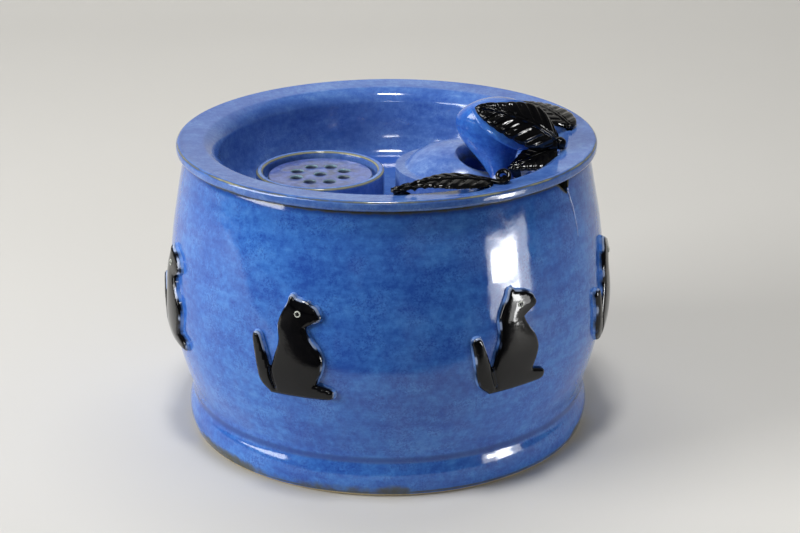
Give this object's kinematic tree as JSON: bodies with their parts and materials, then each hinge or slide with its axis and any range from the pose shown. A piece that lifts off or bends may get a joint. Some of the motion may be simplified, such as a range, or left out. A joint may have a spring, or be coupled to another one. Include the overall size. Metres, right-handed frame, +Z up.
{
  "type": "pet water fountain",
  "caption": "Bellied ceramic pet fountain: reservoir pot with a lift-off drinking basin, drain strainer, hooded outlet mound, black cat and leaf reliefs and a submersible pump.",
  "frame": {"origin": "on the ground, at the middle of the pot's foot ring", "axes": "+Z up; +X from the drain strainer towards the outlet mound; the camera looks along +Y"},
  "size_m": [0.2717, 0.2694, 0.2078],
  "materials": {
    "blue_glaze": "glossy mottled blue glaze",
    "black_glaze": "glossy black glaze",
    "strainer_glaze": "satin grey-blue glaze",
    "pump_plastic": "fine matt moulding",
    "gate_plastic": "fine matt moulding",
    "rotor_plastic": "bonded magnet moulding",
    "core_steel": "laminated steel",
    "coil_copper": "enamelled copper winding",
    "potting_resin": "cast resin",
    "shaft_ceramic": "ground ceramic",
    "filter_foam": "open-cell foam",
    "cup_rubber": "soft rubber",
    "clear_tube": "silicone tube"
  },
  "bodies": {
    "reservoir": {"reservoir_pot": "blue_glaze", "sitting_cat_1": "black_glaze", "sitting_cat_2": "black_glaze", "sitting_cat_3": "black_glaze", "sitting_cat_4": "black_glaze", "sitting_cat_5": "black_glaze", "sitting_cat_6": "black_glaze", "sitting_cat_7": "black_glaze", "pump_housing": "pump_plastic", "stator_core": "core_steel", "stator_coil": "coil_copper", "potting_compound": "potting_resin", "chamber_cover": "pump_plastic", "impeller_shaft": "shaft_ceramic", "shaft_bushes": "cup_rubber", "outlet_nozzle": "pump_plastic", "suction_cups": "cup_rubber", "cable_gland": "cup_rubber", "riser_tube": "clear_tube"},
    "basin": {"drinking_basin": "blue_glaze", "drain_collar": "blue_glaze", "splash_mound": "blue_glaze", "outlet_hood": "blue_glaze", "hood_leaf": "black_glaze", "back_leaf": "black_glaze", "side_leaf": "black_glaze", "rim_leaf": "black_glaze", "front_tendril": "black_glaze", "back_tendril": "black_glaze", "vine_bud": "black_glaze"},
    "strainer": {"strainer_disc": "strainer_glaze"},
    "impeller": {"impeller_rotor": "rotor_plastic"},
    "front_cover": {"front_cover": "pump_plastic", "intake_foam": "filter_foam"},
    "gate": {"flow_gate": "gate_plastic"}
  },
  "joints": [
    {"name": "basin_lift", "type": "slide", "parent": "reservoir", "child": "basin", "axis": [0, 0, 1], "range_m": [0, 0.07]},
    {"name": "strainer_lift", "type": "slide", "parent": "basin", "child": "strainer", "axis": [0, 0, 1], "range_m": [0, 0.03]},
    {"name": "impeller_spin", "type": "hinge", "parent": "reservoir", "child": "impeller", "pos_m": [0.0565, -0.016, 0.044], "axis": [1, 0, 0], "continuous": true},
    {"name": "front_cover_slide", "type": "slide", "parent": "reservoir", "child": "front_cover", "axis": [-1, 0, 0], "range_m": [0, 0.03]},
    {"name": "gate_slide", "type": "slide", "parent": "front_cover", "child": "gate", "axis": [0, -1, 0], "range_m": [0, 0.01]}
  ]
}
